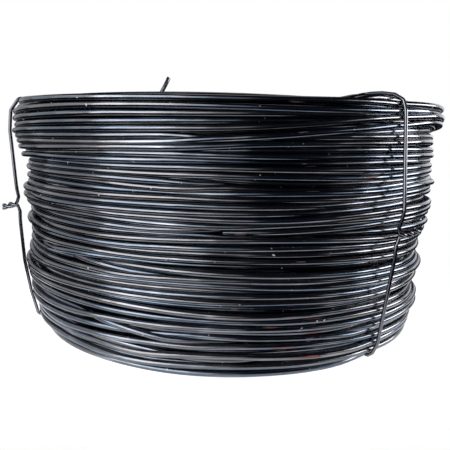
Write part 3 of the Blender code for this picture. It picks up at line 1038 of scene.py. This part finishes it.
# %% Floor
TABLE_RADIUS = 88.0 * MM
TABLE_CORNERS = 96
TABLE_DROP = 0.02 * MM
FLOOR_COLOUR = (0.85, 0.85, 0.85)
FLOOR_GLOW = 0.85
FLOOR_ROUGHNESS = 0.9


def white_where_seen(name, colour, glow):
    """A matt surface that is lit as usual, and glows to the camera and to what mirrors it."""
    material = bpy.data.materials.new(name)
    material.use_nodes = True
    tree = material.node_tree
    shader = tree.nodes["Principled BSDF"]
    shader.inputs["Base Color"].default_value = (*colour, 1.0)
    shader.inputs["Roughness"].default_value = FLOOR_ROUGHNESS
    shader.inputs["Specular IOR Level"].default_value = 0.0
    shader.inputs["Emission Color"].default_value = (1.0, 1.0, 1.0, 1.0)
    ray = tree.nodes.new("ShaderNodeLightPath").outputs
    seen = computed(tree, "MAXIMUM", ray["Is Camera Ray"], ray["Is Glossy Ray"])
    seen = computed(tree, "MAXIMUM", seen, ray["Is Transmission Ray"])
    strength = computed(tree, "MULTIPLY", seen, glow)
    tree.links.new(strength, shader.inputs["Emission Strength"])
    return material


rim = on_coil(TABLE_RADIUS, 0.0, np.arange(TABLE_CORNERS) * 360.0 / TABLE_CORNERS)
floor_mesh = bpy.data.meshes.new("floor")
floor_mesh.from_pydata(rim.tolist(), [], [tuple(range(TABLE_CORNERS))])
floor_mesh.materials.append(white_where_seen("white_floor", FLOOR_COLOUR, FLOOR_GLOW))
floor = bpy.data.objects.new("floor", floor_mesh)
floor.location.z = -TABLE_DROP
bpy.context.scene.collection.objects.link(floor)
print("floor: a round table top,", round(2 * TABLE_RADIUS, 2), "m across")

# %% [markdown]
# ## The surroundings
# To the camera the surroundings are white. To the steel they are a dark room with a paler
# band at the horizon. A colour ramp, from straight down to straight up, holds the room.

# %% World: shares of the way from down to up, with the room's colour there
ROOM = ((0.42, (0.009, 0.011, 0.018)), (0.52, (0.038, 0.046, 0.072)),
        (0.75, (0.011, 0.013, 0.022)))


def studio_world():
    """White for camera rays, the dark room for all others."""
    world = bpy.data.worlds.new("studio")
    bpy.context.scene.world = world
    world.use_nodes = True
    nodes, links = world.node_tree.nodes, world.node_tree.links
    room = nodes["Background"]
    white = nodes.new("ShaderNodeBackground")
    white.inputs["Color"].default_value = (1.0, 1.0, 1.0, 1.0)
    direction = nodes.new("ShaderNodeTexCoord")
    parts = nodes.new("ShaderNodeSeparateXYZ")
    level = nodes.new("ShaderNodeMapRange")
    level.inputs["From Min"].default_value = -1.0
    ramp = nodes.new("ShaderNodeValToRGB")
    stops = ramp.color_ramp.elements
    stops.new(0.5)
    for stop, (share, colour) in zip(stops, ROOM):
        stop.position = share
        stop.color = (*colour, 1.0)
    links.new(parts.outputs["Z"], level.inputs["Value"])
    path = nodes.new("ShaderNodeLightPath")
    mix = nodes.new("ShaderNodeMixShader")
    links.new(direction.outputs["Generated"], parts.inputs[0])
    links.new(level.outputs["Result"], ramp.inputs["Fac"])
    links.new(ramp.outputs["Color"], room.inputs["Color"])
    links.new(path.outputs["Is Camera Ray"], mix.inputs["Fac"])
    links.new(room.outputs[0], mix.inputs[1])
    links.new(white.outputs[0], mix.inputs[2])
    links.new(mix.outputs[0], nodes["World Output"].inputs["Surface"])


studio_world()

# %% [markdown]
# ## The lamps
# The steel mirrors each lamp as an upright band of light on the coil. A wide window stands at
# the left and a narrower, brighter one at the right. Dimmer lamps beside them soften their
# edges, and weak ones light the back and the top. Right of the camera there is no lamp, so
# the coil is darkest just right of its middle.

# %% Lamps: azimuth and elevation in degrees, distance, width and height in metres, brightness
LAMPS = (
    ("left_window", -44.0, 19.0, 0.60, 0.40, 0.50, 4.4),
    ("left_edge", -16.0, 17.0, 0.60, 0.18, 0.42, 2.1),
    ("left_fringe", 1.0, 15.0, 0.60, 0.20, 0.36, 0.7),
    ("left_panel", -86.0, 20.0, 0.60, 0.58, 0.50, 0.95),
    ("left_back", -134.0, 17.0, 0.60, 0.44, 0.36, 0.40),
    ("right_fringe", 64.0, 14.0, 0.55, 0.18, 0.11, 1.5),
    ("right_window", 93.0, 14.0, 0.55, 0.38, 0.16, 8.4),
    ("right_back", 134.0, 18.0, 0.55, 0.26, 0.26, 1.1),
    ("top_panel", 180.0, 70.0, 0.65, 0.50, 0.30, 0.8),
)
for name, azimuth, elevation, distance, width, tall, brightness in LAMPS:
    light = bpy.data.lights.new(name, "AREA")
    light.shape = "RECTANGLE"
    light.size = width
    light.size_y = tall
    light.energy = brightness * math.pi * width * tall
    lamp = bpy.data.objects.new(name, light)
    level = math.radians(elevation)
    place = Vector(on_coil(distance * math.cos(level), distance * math.sin(level), azimuth))
    toward = Vector((0.0, 0.0, COIL_HEIGHT / 2)) - place
    lamp.matrix_world = (Matrix.Translation(place)
                         @ toward.to_track_quat("-Z", "Y").to_matrix().to_4x4())
    lamp.visible_camera = False
    bpy.context.scene.collection.objects.link(lamp)

# %% [markdown]
# ## Close
# The view settings stay plain, so that colours come out as they are written.

# %% View settings
bpy.context.scene.view_settings.view_transform = "Standard"
bpy.context.view_layer.update()
